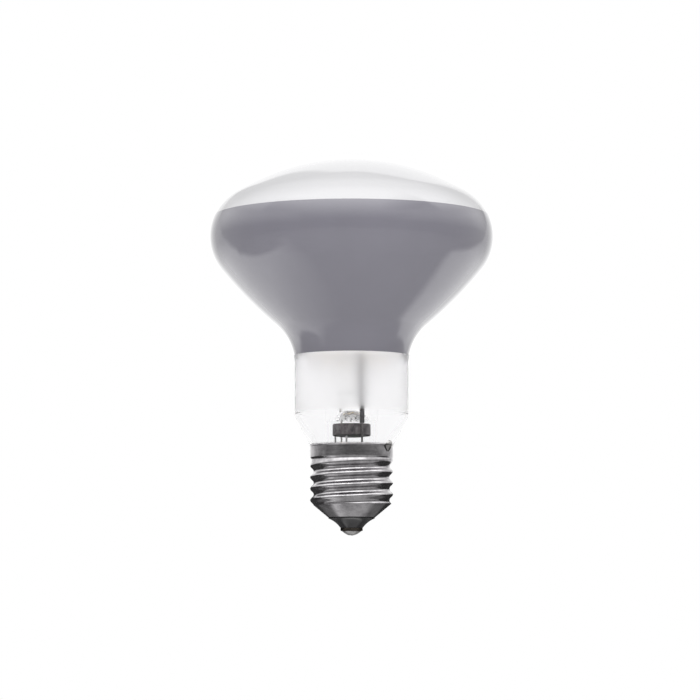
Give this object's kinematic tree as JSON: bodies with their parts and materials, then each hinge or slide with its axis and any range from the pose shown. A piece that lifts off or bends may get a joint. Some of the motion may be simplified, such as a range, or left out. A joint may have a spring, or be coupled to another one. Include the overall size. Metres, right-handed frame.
{
  "type": "reflector light bulb",
  "caption": "Reflector LED bulb: frosted domed glass with a mirrored flank and a tapered neck, on a threaded screw cap with driver and filaments inside.",
  "frame": {"origin": "tip of the solder dome on the centre contact, on the lamp axis", "axes": "+Z along the lamp axis from the contact to the dome, +X to the right in the picture, -Y to the viewer"},
  "size_m": [0.09, 0.09, 0.1198],
  "materials": {
    "coated_glass": "frosted white dome and neck, grey mirrored flank, glossy outside",
    "clear_glass": "clear, flame polished",
    "plated_shell": "bright nickel plate, rolled",
    "black_glass": "glossy black glass",
    "contact_brass": "tinned brass",
    "solder": "soft satin solder",
    "cement": "matt cured cement",
    "ferrite": "dark ferrite, varnished winding",
    "sleeve": "dark woven sleeve",
    "nickel_wire": "drawn wire",
    "copper_wire": "tinned copper wire",
    "phosphor": "yellow phosphor coat",
    "board": "lacquered board",
    "can_sleeve": "dark sleeved can",
    "component": "moulded black",
    "resistor_coat": "cement-coated body"
  },
  "bodies": {
    "root": {"back_lead_wire": "nickel_wire", "basing_cement": "cement", "bridge_rectifier": "component", "cap_insulator": "black_glass", "cap_shell": "plated_shell", "centre_contact": "contact_brass", "contact_solder": "solder", "driver_board": "board", "driver_chip": "component", "drum_choke": "ferrite", "front_lead_wire": "nickel_wire", "fusible_resistor": "resistor_coat", "glass_bulb": "coated_glass", "glass_stem": "clear_glass", "lead_sleeve": "sleeve", "led_filament_1": "phosphor", "led_filament_2": "phosphor", "led_filament_3": "phosphor", "led_filament_4": "phosphor", "lower_bar_1": "nickel_wire", "lower_bar_2": "nickel_wire", "neutral_wire": "copper_wire", "side_solder": "solder", "smoothing_capacitor": "can_sleeve", "support_wire": "nickel_wire", "upper_bar_1": "nickel_wire", "upper_bar_2": "nickel_wire"}
  },
  "joints": []
}
